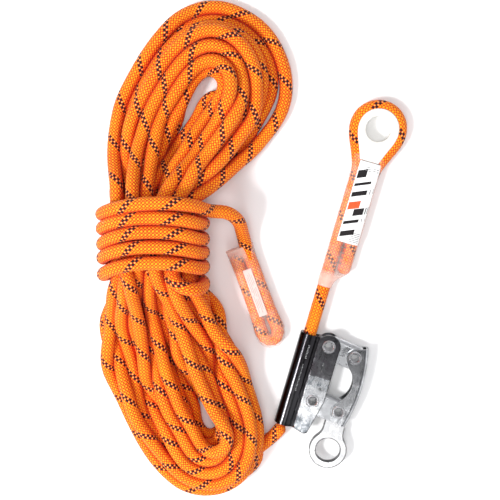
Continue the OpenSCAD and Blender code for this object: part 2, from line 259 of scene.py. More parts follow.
# Centrelines of the outermost and innermost loop of each lobe, and two that lie across the rest.
upperOuter = [(-36, 38), (-36, 63), (-33, 86), (-27, 115), (-14, 143), (6, 174), (25, 192), (49, 202),
              (70, 197), (91, 185), (105, 163), (107, 146), (100, 123), (84, 99), (62, 72), (42, 38)]
upperInner = [(-1, 38), (1, 64), (6, 90), (13, 110), (24, 130), (37, 148), (53, 157), (62, 149),
              (62, 131), (52, 107), (38, 85), (23, 64), (10, 38)]
upperLoose = [(-38, 38), (-38, 63), (-35, 86), (-28, 115), (-15, 143), (4, 174), (25, 194), (49, 204),
              (74, 198), (96, 182), (112, 158), (119, 134), (111, 108), (90, 86), (68, 66), (42, 38)]
upperCross = [(-1, 38), (2, 56), (8, 75), (17, 87), (30, 98), (45, 112), (58, 125), (70, 131),
              (76, 120), (66, 102), (48, 80), (30, 60), (16, 38)]
lowerOuter = [(33, -36), (49, -80), (70, -120), (87, -172), (88, -206), (72, -231), (48, -236),
              (27, -235), (3, -212), (-20, -177), (-37, -134), (-41, -72), (-38, -36)]
lowerInner = [(8, -36), (16, -72), (28, -110), (38, -134), (50, -160), (62, -182), (60, -196),
              (50, -192), (38, -174), (24, -148), (14, -122), (4, -72), (-2, -36)]
lobeSamples = 25


def lobeLine(outline):
    # A smooth line through the outline, always with the same number of points.
    return evenly(smoothCurve(np.array(outline) / 1000, 16), count=lobeSamples)


def waistSlots(h):
    # Every loop has its own place in the waist: three in the outer column, five in each inner one.
    columns = [(2.5, range(0, 3)), (1.5, range(3, 8)), (0.5, range(8, 13))]
    x, z = np.zeros(h["loops"]), np.zeros(h["loops"])
    for column, members in columns:
        ranked = sorted(members, key=lambda r: (h["upperLayer"][r], r))
        for level, r in enumerate(ranked):
            x[r] = column * h["columns"]
            z[r] = h["waistHeight"] + (level - (len(ranked) - 1) / 2) * h["layers"]
    return x, z


def lobeRun(line, waist, low):
    # A lobe's height eases from the waist down to its layer and back up again.
    down = np.clip(1.6 * np.sin(math.pi * np.linspace(0, 1, len(line))), 0, 1)
    return np.column_stack([line, waist * (1 - down) + low * down])[2:-2]


# Into the first loop from the grab's side, and out of the last one at the waist.
hankEntry = [(0.082, -0.208, 0.0062), (0.066, -0.220, 0.006), (0.040, -0.226, 0.006),
             (0.016, -0.214, 0.006), (-0.010, -0.184, 0.008), (-0.030, -0.140, 0.012),
             (-0.034, -0.090, 0.016)]
waistExit = [(0.024, -0.006, 0.055), (0.018, -0.022, 0.061), (0.0235, -0.0345, 0.0675)]

relax = {
    "step": 0.006,
    "rounds": 260,
    "searchEvery": 6,       # rounds between searches for neighbours
    "searchBeyond": 0.005,  # and how much further than touching they look
    "apart": 4,             # points this far along the rope can touch
    "passes": 3,
    "carry": 0.8,           # share of the speed kept from round to round
    "sag": 0.0002,
    "tether": 0.06,         # pull back towards the layout, seen from above
    "bendStiffness": 0.9,
    "chords": ((4, 0.0218), (7, 0.0330)),   # points so many apart are held at least so far apart
    "pull": 0.035,          # the rope is drawn through the tie where it has slack
    "push": 1.6,
    "fastest": 0.0015,
}


def hankLayout(h):
    # Loop after loop through the waist, each lobe between its outermost and innermost line.
    upper = lobeLine(upperOuter), lobeLine(upperInner)
    lower = lobeLine(lowerOuter), lobeLine(lowerInner)
    slotX, slotZ = waistSlots(h)
    share = np.clip(1 - np.arange(h["loops"]) / (h["loops"] - 2), 0, 1)
    highOf = [ropeR + h["layers"] * k for k in h["upperLayer"]]
    lowOf = [ropeR + h["layers"] * k for k in h["lowerLayer"]]
    runs = [np.array(hankEntry)]
    for r in range(h["loops"]):
        x, z = slotX[r], slotZ[r]
        runs.append(np.array([(-x, 0.016, z), (-x, 0.033, z)]))
        line = upper[0] * share[r] + upper[1] * (1 - share[r])
        if r == 0:
            line = lobeLine(upperLoose)
        if r == h["loops"] - 1:
            line = lobeLine(upperCross)
        runs.append(lobeRun(line, z, highOf[r]))
        if r + 1 == h["loops"]:
            runs.append(np.array([(x, 0.030, z), (x, 0.010, z)]))
            break
        runs.append(np.array([(x, 0.030, z), (x, 0, z), (x, -0.028, z)]))
        line = lower[0] * share[r] + lower[1] * (1 - share[r])
        runs.append(lobeRun(line, z, lowOf[r]))
        runs.append(np.array([(-x, -0.030, z), (-x, -0.016, z)]))
    runs.append(np.array(waistExit))
    return evenly(smoothCurve(np.vstack(runs), 8), step=relax["step"])


def bySum(index, values, count):
    # Adds up the rows of values that share an index.
    return np.stack([np.bincount(index, values[:, k], minlength=count) for k in range(3)], 1)


def settle(x, h, r):
    # The rope as a chain of points: it keeps its spacing, resists bending, falls under its weight,
    # rests on the floor, on itself and inside the tie, and slides apart where it runs into itself.
    count, across = len(x), rope["diameter"]
    home, speed = x[:, :2].copy(), np.zeros_like(x)
    free = np.ones((count, 1))
    free[:3] = free[-3:] = 0
    pinned = free[:, 0] == 0
    for turn in range(r["rounds"]):
        if turn % r["searchEvery"] == 0:
            gap = x[:, None, :].astype(np.float32) - x[None].astype(np.float32)
            near = (gap**2).sum(2) < (across + r["searchBeyond"])**2
            first, second = np.nonzero(np.triu(near, r["apart"]))
        old = x.copy()
        x = x + r["carry"] * speed * free
        x[:, 2] -= r["sag"] * free[:, 0]
        x[:, :2] += (home - x[:, :2]) * r["tether"] * free
        for _ in range(r["passes"]):
            for start in (0, 1):
                a = np.arange(start, count - 1, 2)
                d = x[a + 1] - x[a]
                far = np.linalg.norm(d, axis=1, keepdims=True)
                fix = np.maximum(far - r["step"], 0) / far * d / (free[a] + free[a + 1] + 1e-9)
                x[a] += fix * free[a]
                x[a + 1] -= fix * free[a + 1]
            x[1:-1] += (x[:-2] - 2 * x[1:-1] + x[2:]) * r["pull"] * free[1:-1]
            bend = -x[:-4] + 4 * x[1:-3] - 6 * x[2:-2] + 4 * x[3:-1] - x[4:]
            x[2:-2] += bend / 16 * r["bendStiffness"] * free[2:-2]
            for span, least in r["chords"]:
                d = x[span:] - x[:-span]
                far = np.linalg.norm(d, axis=1, keepdims=True)
                fix = 0.25 * np.maximum(least - far, 0) / (far + 1e-9) * d
                x[span:] += fix * free[span:]
                x[:-span] -= fix * free[:-span]
            d = x[second] - x[first]
            far = np.linalg.norm(d, axis=1)
            touch = far < across
            i, j, d, far = first[touch], second[touch], d[touch], far[touch]
            fix = (0.5 * (across - far) / (far + 1e-9))[:, None] * d
            hits = np.bincount(i, minlength=count) + np.bincount(j, minlength=count)
            moved = bySum(j, fix, count) - bySum(i, fix, count)
            x += moved / np.maximum(hits, 1)[:, None] * r["push"] * free
            x[:, 2] = np.maximum(x[:, 2], ropeR)
            inTie = np.clip((h["tieReach"] - np.abs(x[:, 1] - h["tieMiddle"])) / h["tieFade"], 0, 1)
            qx = np.abs(x[:, 0]) / (h["waistHalf"][0] - ropeR)
            qz = np.abs(x[:, 2] - h["waistHeight"]) / (h["waistHalf"][1] - ropeR)
            out = (qx**h["waistSquare"] + qz**h["waistSquare"])**(1 / h["waistSquare"])
            keep = 1 - (1 - 1 / np.maximum(out, 1)) * inTie
            x[:, 0] *= keep
            x[:, 2] = h["waistHeight"] + (x[:, 2] - h["waistHeight"]) * keep
            x[pinned] = old[pinned]
        speed = x - old
        pace = np.linalg.norm(speed, axis=1, keepdims=True)
        speed *= np.minimum(1, r["fastest"] / np.maximum(pace, 1e-9))
    print("settled", count, "points; mean overlap, mm:", round(float((across - far).mean() * 1000), 2))
    return x


def tieTurns(h):
    # A helix on the waist's rounded outline: right side, back, left side, front, and up one rope.
    # Each station is the turns made so far, counted backwards, and the place along the hank.
    right, left = (-38, -22, -9, 3, 17), (-29, -14, -2, 12, 25)
    front = (-13, 1, 14, 26, 38)
    stations = [(0.14, -37.6), (0.10, -38.3)]
    for turn in range(5):
        back = (right[turn] + left[turn]) / 2
        for quarter, y in enumerate((right[turn], back, left[turn], front[turn])):
            stations.append((-turn - quarter / 4, y))
    stations.append((-4.9, 35.5))
    phase, y = smoothCurve(stations, 12).T
    c, s = np.cos(2 * math.pi * phase), np.sin(2 * math.pi * phase)
    power = 2 / h["waistSquare"]
    x = (h["waistHalf"][0] + ropeR) * np.sign(c) * np.abs(c)**power
    z = h["waistHeight"] + (h["waistHalf"][1] + ropeR) * np.sign(s) * np.abs(s)**power
    return np.column_stack([x, y / 1000, z])


def makeRopes():
    # The hank's rope is one line from the grab through the loops and the tie to the folded end,
    # eased at its joins with a running weighted mean.
    anchorPath = evenly(smoothCurve(anchorRoute), step=rope["ringStep"] / 2)
    anchor = ropeTube("anchorRope", anchorPath)
    loops = settle(hankLayout(hank), hank, relax)
    wound = np.vstack([loops, evenly(tieTurns(hank), step=relax["step"])[1:]])
    wound = turned(wound, hank["place"], hank["turn"])
    whole = np.vstack([smoothCurve(lowerRoute)[:-1], wound, smoothCurve(endRoute)])
    whole = evenly(whole, step=rope["easeStep"])
    reach = rope["easeReach"]
    kernel = np.hanning(reach + 2)[1:-1]
    padded = np.pad(whole, ((reach // 2, reach // 2), (0, 0)), "edge")
    eased = np.stack([np.convolve(padded[:, k], kernel / kernel.sum(), "valid") for k in range(3)], 1)
    eased[0], eased[-1] = whole[0], whole[-1]
    hankPath = evenly(eased, step=rope["ringStep"])
    main = ropeTube("hankRope", hankPath)
    return anchor, anchorPath, main, hankPath


anchorRope, anchorPath, hankRope, hankPath = makeRopes()


def newMaterial(name, **sockets):
    # A material with its main shader; sockets are set by name, with _ for a space.
    material = bpy.data.materials.new(name)
    material.use_nodes = True
    nodes = material.node_tree.nodes
    shader = nodes["Principled BSDF"]
    for socket, value in sockets.items():
        shader.inputs[socket.replace("_", " ")].default_value = value
    return material, nodes, material.node_tree.links, shader


class Sums:
    # Short words for chains of Math nodes.
    def __init__(self, nodes, links):
        self.nodes, self.links = nodes, links

    def step(self, operation, *values):
        node = self.nodes.new("ShaderNodeMath")
        node.operation = operation
        for k, value in enumerate(values):
            if isinstance(value, (int, float)):
                node.inputs[k].default_value = value
            else:
                self.links.new(value, node.inputs[k])
        return node.outputs[0]

    def mixColour(self, share, first, second, blend="MIX"):
        node = self.nodes.new("ShaderNodeMix")
        node.data_type = "RGBA"
        node.blend_type = blend
        for slot, value in ((0, share), (6, first), (7, second)):
            if isinstance(value, tuple):
                node.inputs[slot].default_value = (*value, 1)
            elif isinstance(value, (int, float)):
                node.inputs[slot].default_value = value
            else:
                self.links.new(value, node.inputs[slot])
        return node.outputs[2]

    def noise(self, scale, detail=3, rough=0.5, stretch=None):
        node = self.nodes.new("ShaderNodeTexNoise")
        node.inputs["Scale"].default_value = scale
        node.inputs["Detail"].default_value = detail
        node.inputs["Roughness"].default_value = rough
        source = self.objectPlace()
        if stretch:
            mapping = self.nodes.new("ShaderNodeMapping")
            mapping.inputs["Scale"].default_value = stretch
            self.links.new(source, mapping.inputs["Vector"])
            source = mapping.outputs["Vector"]
        self.links.new(source, node.inputs["Vector"])
        return node.outputs["Fac"]

    def objectPlace(self):
        return self.nodes.new("ShaderNodeTexCoord").outputs["Object"]

    def parts(self, source):
        # The three parts of a vector.
        node = self.nodes.new("ShaderNodeSeparateXYZ")
        self.links.new(source, node.inputs[0])
        return node.outputs

    def wrapParts(self):
        # Metres along and turns around, from the piece's own map.
        wrap = self.nodes.new("ShaderNodeUVMap")
        wrap.uv_map = "wrap"
        return self.parts(wrap.outputs["UV"])

    def spread(self, value, low, high, toLow=0.0, toHigh=1.0):
        node = self.nodes.new("ShaderNodeMapRange")
        for k, v in enumerate((value, low, high, toLow, toHigh)):
            if isinstance(v, (int, float)):
                node.inputs[k].default_value = v
            else:
                self.links.new(v, node.inputs[k])
        return node.outputs[0]

    def bump(self, height, distance, shader):
        node = self.nodes.new("ShaderNodeBump")
        node.inputs["Strength"].default_value = 1.0
        node.inputs["Distance"].default_value = distance
        self.links.new(height, node.inputs["Height"])
        self.links.new(node.outputs["Normal"], shader.inputs["Normal"])


sheath = {
    "groove": (0.55, 0.015, 0.001),     # colours up from painted shade between the yarns to a painted highlight on their crowns
    "yarn": (0.95, 0.105, 0.002),
    "crownHighlight": (1.0, 0.42, 0.010),
    "paintedShadeTone": (0.86, 0.22, 0.25),     # painted shade: multiplies the colour between the strands and on the underside
    "tracer": (0.012, 0.010, 0.010),
    "tracerDot": (1.0, 0.62, 0.16),
    "yarnHeight": 0.00028,
}


def braidMaterial(name, look=sheath, r=rope):
    # Two families of yarns cross at 45 degrees, each over one and under one: the whole part of
    # along + around names a left yarn, that of along - around a right yarn, and the parity of their
    # difference says which is on top. Each yarn is a sine ridge. The wrap map gives metres along
    # and turns around.
    material, nodes, links, shader = newMaterial(name, Roughness=0.62, Sheen_Weight=0.06,
                                                 Sheen_Roughness=0.4, Specular_IOR_Level=0.25)
    sums = Sums(nodes, links)
    metres, turns = sums.wrapParts()[:2]
    along = sums.step("DIVIDE", metres, math.pi * r["diameter"] / r["carriers"])
    around = sums.step("MULTIPLY", turns, r["carriers"])
    left, right = sums.step("ADD", along, around), sums.step("SUBTRACT", along, around)
    leftYarn, rightYarn = sums.step("FLOOR", left), sums.step("FLOOR", right)
    row = sums.step("FLOORED_MODULO", sums.step("SUBTRACT", leftYarn, rightYarn), 2)
    leftOver = sums.step("LESS_THAN", row, 0.5)
    ridges = [sums.step("SINE", sums.step("MULTIPLY", sums.step("FRACT", side), math.pi))
              for side in (left, right)]
    rightOver = sums.step("SUBTRACT", 1, leftOver)
    acrossYarn = sums.step("ADD", sums.step("MULTIPLY", ridges[0], leftOver),
                           sums.step("MULTIPLY", ridges[1], rightOver))
    alongYarn = sums.step("ADD", sums.step("MULTIPLY", ridges[1], leftOver),
                          sums.step("MULTIPLY", ridges[0], rightOver))
    hump = sums.step("POWER", acrossYarn, 0.75)
    height = sums.step("MULTIPLY", hump, sums.step("ADD", 0.45, sums.step("MULTIPLY", alongYarn, 0.55)))
    fibre = sums.noise(1500, 2, 0.6)
    # Painted light: the colour follows the yarns' height, with painted shade in the grooves and a painted
    # highlight on the crowns, plus random tone from the noises; the left yarns are painted lighter than the
    # right ones, a painted sheen.
    lift = sums.step("MULTIPLY", height, 1.25)
    for part, strength in ((fibre, 0.5), (leftOver, 0.36), (sums.noise(38, 2), 0.35)):
        lift = sums.step("ADD", lift, sums.step("MULTIPLY", sums.step("SUBTRACT", part, 0.5), strength))
    low = sums.mixColour(sums.spread(lift, 0.12, 0.72), look["groove"], look["yarn"])
    colour = sums.mixColour(sums.spread(lift, 0.55, 1.1), low, look["crownHighlight"])
    tracer = sums.step("FLOORED_MODULO", leftYarn, r["carriers"])
    inTracer = sums.step("LESS_THAN", tracer, r["tracerYarns"] - 0.5)
    black = sums.step("MULTIPLY", inTracer, leftOver)
    dot = sums.step("MULTIPLY", inTracer, rightOver)
    dot = sums.step("MULTIPLY", dot, sums.spread(height, 0.55, 0.95))
    # Painted shade: the point attribute made with the rope darkens the sheath between the strands and on
    # its underside.
    paintedShadeInput = nodes.new("ShaderNodeAttribute")
    paintedShadeInput.attribute_name = "paintedShade"
    colour = sums.mixColour(paintedShadeInput.outputs["Fac"], colour, look["paintedShadeTone"], "MULTIPLY")
    colour = sums.mixColour(sums.step("MULTIPLY", dot, 0.75), colour, look["tracerDot"])
    colour = sums.mixColour(black, colour, look["tracer"])
    links.new(colour, shader.inputs["Base Color"])
    grain = sums.step("ADD", height, sums.step("MULTIPLY", fibre, 0.12))
    sums.bump(grain, look["yarnHeight"] * 2.2, shader)
    return material


ropeMaterial = braidMaterial("braidedSheath")
for piece in (anchorRope, hankRope):
    piece.data.materials.append(ropeMaterial)
    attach(piece, "lifeline")
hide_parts("rope_in_grab", "rope_eye")
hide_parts("rope_lower", "rope_hank_upper", "rope_hank_lower", "rope_hank_wraps", "rope_end")
print("ropes finished")


# Clear shrink film over the doubled rope.
eyeFilm = {
    "strand": (-0.0282, 0.007),     # x and z of the standing strand, where it lies on the floor
    # along y, how far the middle lies from the strand, half width, half height, height of the middle
    "stations": [(0.1050, 0.0003, 0.0068, 0.0066, 0.0085), (0.1090, 0.0004, 0.0071, 0.0068, 0.0083),
                 (0.1140, 0.0018, 0.0086, 0.0068, 0.0080), (0.1190, 0.0048, 0.0115, 0.0068, 0.0077),
                 (0.1240, 0.0065, 0.0133, 0.0067, 0.0074), (0.1400, 0.0066, 0.0134, 0.0067, 0.0071),
                 (0.2080, 0.0066, 0.0134, 0.0067, 0.0070), (0.2180, 0.0066, 0.0141, 0.0067, 0.0070),
                 (0.2250, 0.0066, 0.0156, 0.0068, 0.0070), (0.2300, 0.0066, 0.0171, 0.0070, 0.0070)],
    "milky": (0.113, 0.121),
}
endFilm = {
    # along the local y, half width, half height
    "stations": [(0.0010, 0.0134, 0.0076), (-0.0030, 0.0130, 0.0072), (-0.0120, 0.0128, 0.0068),
                 (-0.0440, 0.01275, 0.0066), (-0.0680, 0.01325, 0.0066), (-0.0800, 0.0144, 0.0066),
                 (-0.0850, 0.0141, 0.0066), (-0.0890, 0.0133, 0.0066), (-0.0925, 0.0117, 0.00655),
                 (-0.0955, 0.0091, 0.0060), (-0.0978, 0.0058, 0.0045), (-0.0991, 0.0030, 0.0025),
                 (-0.0997, 0.0004, 0.0003)],
    "height": 0.0073,
    "milky": (0.001, -0.012),
}
filmRing = 72
filmWall = 0.0003


def filmShell(y, middle, halfWidth, halfHeight, z):
    # Rings of a flattened oval: a half circle at each side, joined by straight runs that dip a little
    # between the strands, with faint shrink wrinkles.
    angle = np.linspace(0, 2 * math.pi, filmRing, endpoint=False)[None, :]
    lean = np.tanh(3.4 * np.cos(angle)) / np.tanh(3.4)
    along = (np.arange(len(y)) / (len(y) - 1))[:, None]
    wrinkle = 0.00012 * np.sin(5 * angle + 9 * along) * np.sin(41 * along + 3 * np.cos(angle))
    half, tall = halfWidth[:, None], halfHeight[:, None] + wrinkle
    x = middle[:, None] + (half - tall) * lean + (tall + wrinkle) * np.cos(angle)
    dip = 1 - 0.05 * (1 - lean**2) * np.clip(half / tall - 1.4, 0, 1)
    height = z[:, None] + tall * np.sin(angle) * dip
    rings = np.stack([x, np.broadcast_to(y[:, None], x.shape), height], -1)
    share = np.linspace(0, 1, filmRing + 1)[None, :]
    uv = np.stack(np.broadcast_arrays(y[:, None] + 0 * share, share), -1)
    return rings, uv


def makeFilms():
    # The eye's film runs along the standing strand; the other lies in the folded end's own frame.
    y, middle, wide, tall, z = evenly(smoothCurve(eyeFilm["stations"], 10), count=70)[::-1].T
    rings, uv = filmShell(y, eyeFilm["strand"][0] + middle, wide, tall, z)
    eye = gridMesh("eyeFilm", rings, uv)
    y, wide, tall = evenly(smoothCurve(endFilm["stations"], 10), count=76).T
    rings, uv = filmShell(y, 0 * y, wide, tall, endFilm["height"] + 0 * y)
    shape = rings.shape
    rings = turned(rings.reshape(-1, 3), stopper["place"], stopper["turn"]).reshape(shape)
    end = gridMesh("endFilm", rings, uv)
    for film in (eye, end):
        thicken(film, filmWall)
    return eye, end


def filmMaterial(name, milky):
    # Thin clear film: see-through, glossy, milkier towards the end where it is shrunk tight.
    material, nodes, links, shader = newMaterial(name, Roughness=0.16, Base_Color=(1.0, 0.70, 0.60, 1))
    sums = Sums(nodes, links)
    cloud = sums.spread(sums.noise(130, 3), 0.35, 0.75, 0.06, 0.20)
    end = sums.spread(sums.wrapParts()[0], milky[1], milky[0])
    alpha = sums.step("ADD", cloud, sums.step("MULTIPLY", end, 0.34))
    links.new(alpha, shader.inputs["Alpha"])
    sums.bump(sums.noise(260, 2, stretch=(1, 0.4, 1)), 0.0004, shader)
    return material


eyeFilmPiece, endFilmPiece = makeFilms()
for piece, facts, node in ((eyeFilmPiece, eyeFilm, "eye_sleeve"), (endFilmPiece, endFilm, "end_sleeve")):
    piece.data.materials.append(filmMaterial(piece.name + "Clear", facts["milky"]))
    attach(piece, "lifeline")
    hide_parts(node)
print("films made")


thimble = {
    "middle": (-0.0216, 0.25605, 0.007),
    "hole": 0.0115,
    "half": 0.0068,         # half of its thickness
    "flangeIn": 0.0016,     # from the rope's centreline in to the flange's edge
    "tip": 0.0303,          # from the middle to the flat tip between the strands
    "round": 0.0007,
    "turns": 160,
}


def makeThimble(t):
    # A channel carried round the eye: a round hole inside, and outside a flange above and below a
    # groove that follows the rope's centreline, whose distance is read off the rope's own route.
    lead = anchorPath[anchorPath[:, 1] > t["middle"][1] - 0.042][:, :2] - np.array(t["middle"][:2])
    bearing = np.arctan2(lead[:, 0], -lead[:, 1])
    span = np.hypot(lead[:, 0], lead[:, 1])
    order = np.argsort(bearing)
    angle = np.linspace(-math.pi, math.pi, t["turns"], endpoint=False)
    lane = np.interp(angle, bearing[order], span[order], period=2 * math.pi)
    flat = t["tip"] / np.maximum(np.cos(angle), 0.2)
    edge = np.minimum(lane - t["flangeIn"], flat)
    seat = ropeR + 0.00015
    reach = np.arccos(np.clip((lane - edge) / seat, 0, 1))
    arc = np.linspace(-1, 1, 15)[None, :] * reach[:, None]
    groove = np.minimum(lane[:, None] - seat * np.cos(arc), edge[:, None] - 0.00002)
    hole, c = t["hole"], t["round"]
    grooveZ = seat * np.sin(arc)
    lip = edge[:, None]
    column = np.ones((t["turns"], 1))
    # out along one face with its two rounded corners, through the groove, and back along the other
    inner = [column * (hole + share * c) for share in (0, 0.3, 1)]
    outer = [lip - share * c for share in (1, 0.3, 0)]
    r = np.hstack(inner + outer + [groove] + outer[::-1] + inner[::-1])
    half = t["half"]
    rise = [column * (share * c - half) for share in (1, 0.3, 0)]
    down, up = rise + rise[::-1], [-part for part in rise + rise[::-1]]
    z = np.hstack(down + [grooveZ] + up)
    x, y = r * np.sin(angle)[:, None], -r * np.cos(angle)[:, None]
    rings = np.stack([x, y, z], -1) + np.array(t["middle"])
    return gridMesh("thimble", rings, endless=True)


# The printed label on the eye's film.
label = {
    "left": -0.00125,       # from the standing strand's middle to the label's left edge
    "width": 0.0205,
    "low": 0.14935,
    "length": 0.076,
    "gap": 0.0132,          # between the two strands' middles
    "lift": 0.0073,         # from a strand's middle to the label
}
# Each shape is a quad: four corners as (across, along) in millimetres from the label's lower left.
darkShapes = [[(left, y), (right, y + rise), (right, y + rise + wide), (left, y + wide)]
              for left, right, y, rise, wide in ((1.0, 13.0, 4.0, 5.0, 5.0), (1.0, 19.6, 15.5, 7.8, 3.0),
                                                 (7.0, 19.6, 25.0, 5.3, 6.4), (1.0, 19.6, 41.5, 7.8, 4.4),
                                                 (1.0, 15.0, 51.5, 5.9, 2.6), (1.0, 9.0, 59.0, 3.4, 7.4))]
orangeShapes = [[(1.0, 29.4), (11.0, 33.6), (11.0, 40.6), (1.0, 36.4)]]
greyLines = [[(x, y), (x + w, y), (x + w, y + 0.55), (x, y + 0.55)]
             for y, x, w in ((2.0, 11.0, 8.2), (3.6, 10.2, 9.0), (5.2, 12.0, 7.2), (6.8, 10.8, 8.4),
                             (8.4, 9.6, 9.6), (10.0, 12.6, 6.6), (69.4, 7.0, 5.2), (71.0, 7.0, 4.4),
                             (67.9, 7.0, 5.0), (69.0, 13.4, 2.6), (70.9, 13.4, 2.2), (68.4, 17.2, 1.8),
                             (70.6, 16.8, 2.0))]


def onLabel(across, along, lift):
    # Flat between the strands and rolled round the outer strand's shoulder beyond it.
    w = label["left"] + across
    flat = np.clip(w, 0, label["gap"])
    radius = label["lift"] + lift
    bend = (w - flat) / radius
    x = eyeFilm["strand"][0] + flat + radius * np.sin(bend)
    z = eyeFilm["strand"][1] + radius * np.cos(bend) + 0.00006 * np.sin(90 * along + 300 * across)
    return np.stack([x, label["low"] + along, z], -1)


def flatQuads(name, shapes, lift, lay, cells=7):
    # Each quad, in millimetres, is a bilinear grid between its four corners, laid on the surface.
    points, faces = [], []
    u, v = np.meshgrid(np.linspace(0, 1, cells), np.linspace(0, 1, cells), indexing="ij")
    a, b = np.meshgrid(np.arange(cells - 1), np.arange(cells - 1), indexing="ij")
    cell = np.stack([a * cells + b, (a + 1) * cells + b, (a + 1) * cells + b + 1, a * cells + b + 1], -1)
    for k, shape in enumerate(shapes):
        c = np.array(shape) * 0.001
        area = np.cross(c[1] - c[0], c[2] - c[0])
        c = c if area > 0 else c[::-1]
        patch = ((1 - u) * (1 - v))[..., None] * c[0] + (u * (1 - v))[..., None] * c[1]
        patch = patch + (u * v)[..., None] * c[2] + ((1 - u) * v)[..., None] * c[3]
        points.append(lay(patch[..., 0], patch[..., 1], lift).reshape(-1, 3))
        faces.append(cell.reshape(-1, 4) + k * cells * cells)
    mesh = bpy.data.meshes.new(name)
    mesh.from_pydata(np.vstack(points).tolist(), [], np.vstack(faces).tolist())
    return addPiece(name, mesh)


def plainMaterial(name, dark, light, roughness, scale, bump=0.0001, **sockets):
    # Two close tones mixed by a fine noise, which also lifts the surface a little.
    material, nodes, links, shader = newMaterial(name, Roughness=roughness, **sockets)
    sums = Sums(nodes, links)
    grain = sums.noise(scale, 3)
    links.new(sums.mixColour(sums.spread(grain, 0.3, 0.7), dark, light), shader.inputs["Base Color"])
    sums.bump(grain, bump, shader)
    return material


def makeLabel():
    # A thin sheet on the film, with each ink a little above it.
    across, along = np.meshgrid(np.linspace(0, label["width"], 40), np.linspace(0, label["length"], 60))
    sheet = gridMesh("eyeLabel", onLabel(across, along, 0.0), closed=False)
    thicken(sheet, 0.0002)
    inks = [flatQuads(name, shapes, 0.00005, onLabel)
            for name, shapes in (("labelDarkInk", darkShapes), ("labelOrangeInk", orangeShapes),
                                 ("labelGreyInk", greyLines))]
    return sheet, inks


# The clear strip on the end's film; its print is quads as above, from the strip's own middle.
strip = {"half": 0.0040, "low": -0.066, "high": -0.020, "lift": 0.0068}
stripLines = [[(x, y), (x + 0.45, y), (x + 0.45, y + w), (x, y + w)]
              for x, y, w in ((-2.6, -62, 17), (-2.6, -42, 15), (-1.2, -58, 9), (-1.2, -46, 21),
                              (0.3, -63, 14), (0.3, -47, 8), (0.3, -36, 12), (1.8, -60, 22), (1.8, -35, 9))]


def onStrip(across, along, lift):
    # Flat on the film between the strands, a little wavy.
    wave = 0.00012 * np.sin(260 * along) * np.cos(300 * across)
    flat = np.stack([across, along, endFilm["height"] + strip["lift"] + lift + wave], -1)
    return turned(flat.reshape(-1, 3), stopper["place"], stopper["turn"]).reshape(flat.shape)


def makeStrip():
    # A thin strip and its print.
    across, along = np.meshgrid(np.linspace(-strip["half"], strip["half"], 16),
                                np.linspace(strip["low"], strip["high"], 60))
    sheet = gridMesh("endLabel", onStrip(across, along, 0.0), closed=False)
    thicken(sheet, 0.00015)
    return sheet, flatQuads("endLabelPrint", stripLines, 0.00005, onStrip)


eyeLabelPiece, eyeInks = makeLabel()
endLabelPiece, endInk = makeStrip()
labelFilm = plainMaterial("labelFilm", (0.86, 0.86, 0.85), (0.93, 0.93, 0.92), 0.35, 90)
eyeLabelPiece.data.materials.append(labelFilm)
inkTones = {"labelDarkInk": (0.016, 0.014, 0.015), "labelOrangeInk": (0.78, 0.09, 0.03),
            "labelGreyInk": (0.16, 0.155, 0.16)}
for ink in eyeInks:
    tone = inkTones[ink.name]
    ink.data.materials.append(plainMaterial(ink.name + "Tone", tone, tuple(1.3 * c for c in tone), 0.6, 300,
                                            Specular_IOR_Level=0.1))
milky = plainMaterial("milkyStrip", (0.95, 0.72, 0.66), (1.0, 0.80, 0.75), 0.3, 120, Alpha=0.62)
endLabelPiece.data.materials.append(milky)
stripInk = plainMaterial("stripInk", (0.45, 0.36, 0.36), (0.55, 0.45, 0.45), 0.4, 200, Alpha=0.55)
endInk.data.materials.append(stripInk)
for piece in (eyeLabelPiece, endLabelPiece, endInk, *eyeInks):
    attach(piece, "lifeline")
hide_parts("eye_label")
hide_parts("end_label")
print("labels made")


def steelMaterial(name, base, roughness, mottle=0.35, grain=(1, 1, 1), wave=0.00025, shade=None, fold=None):
    # Bright stainless: cloudy handling marks change tone and gloss, long scratches cut the shine.
    # shade paints darker reflections and shade onto a part of the piece, and fold rounds a pressed edge.
    material, nodes, links, shader = newMaterial(name, Metallic=1.0)
    sums = Sums(nodes, links)
    cloud = sums.noise(120, 5, 0.66)
    fine = sums.noise(420, 3, 0.6, stretch=grain)
    marks = sums.step("ADD", sums.step("MULTIPLY", cloud, 0.75), sums.step("MULTIPLY", fine, 0.25))
    tone = sums.spread(marks, 0.42, 0.58)
    colour = sums.mixColour(tone, tuple(c * (1 - mottle) for c in base), base)
    if shade:
        colour = shade(sums, marks, colour)
    links.new(colour, shader.inputs["Base Color"])
    gloss = sums.spread(marks, 0.35, 0.65, roughness * 1.9, roughness * 0.7)
    links.new(gloss, shader.inputs["Roughness"])
    lift = sums.step("ADD", sums.step("MULTIPLY", sums.noise(34, 2), 0.8),
                     sums.step("MULTIPLY", fine, 0.10))
    lift = sums.step("MULTIPLY", lift, wave)
    if fold:
        lift = sums.step("ADD", lift, fold(sums))
    sums.bump(lift, 1.0, shader)
    return material


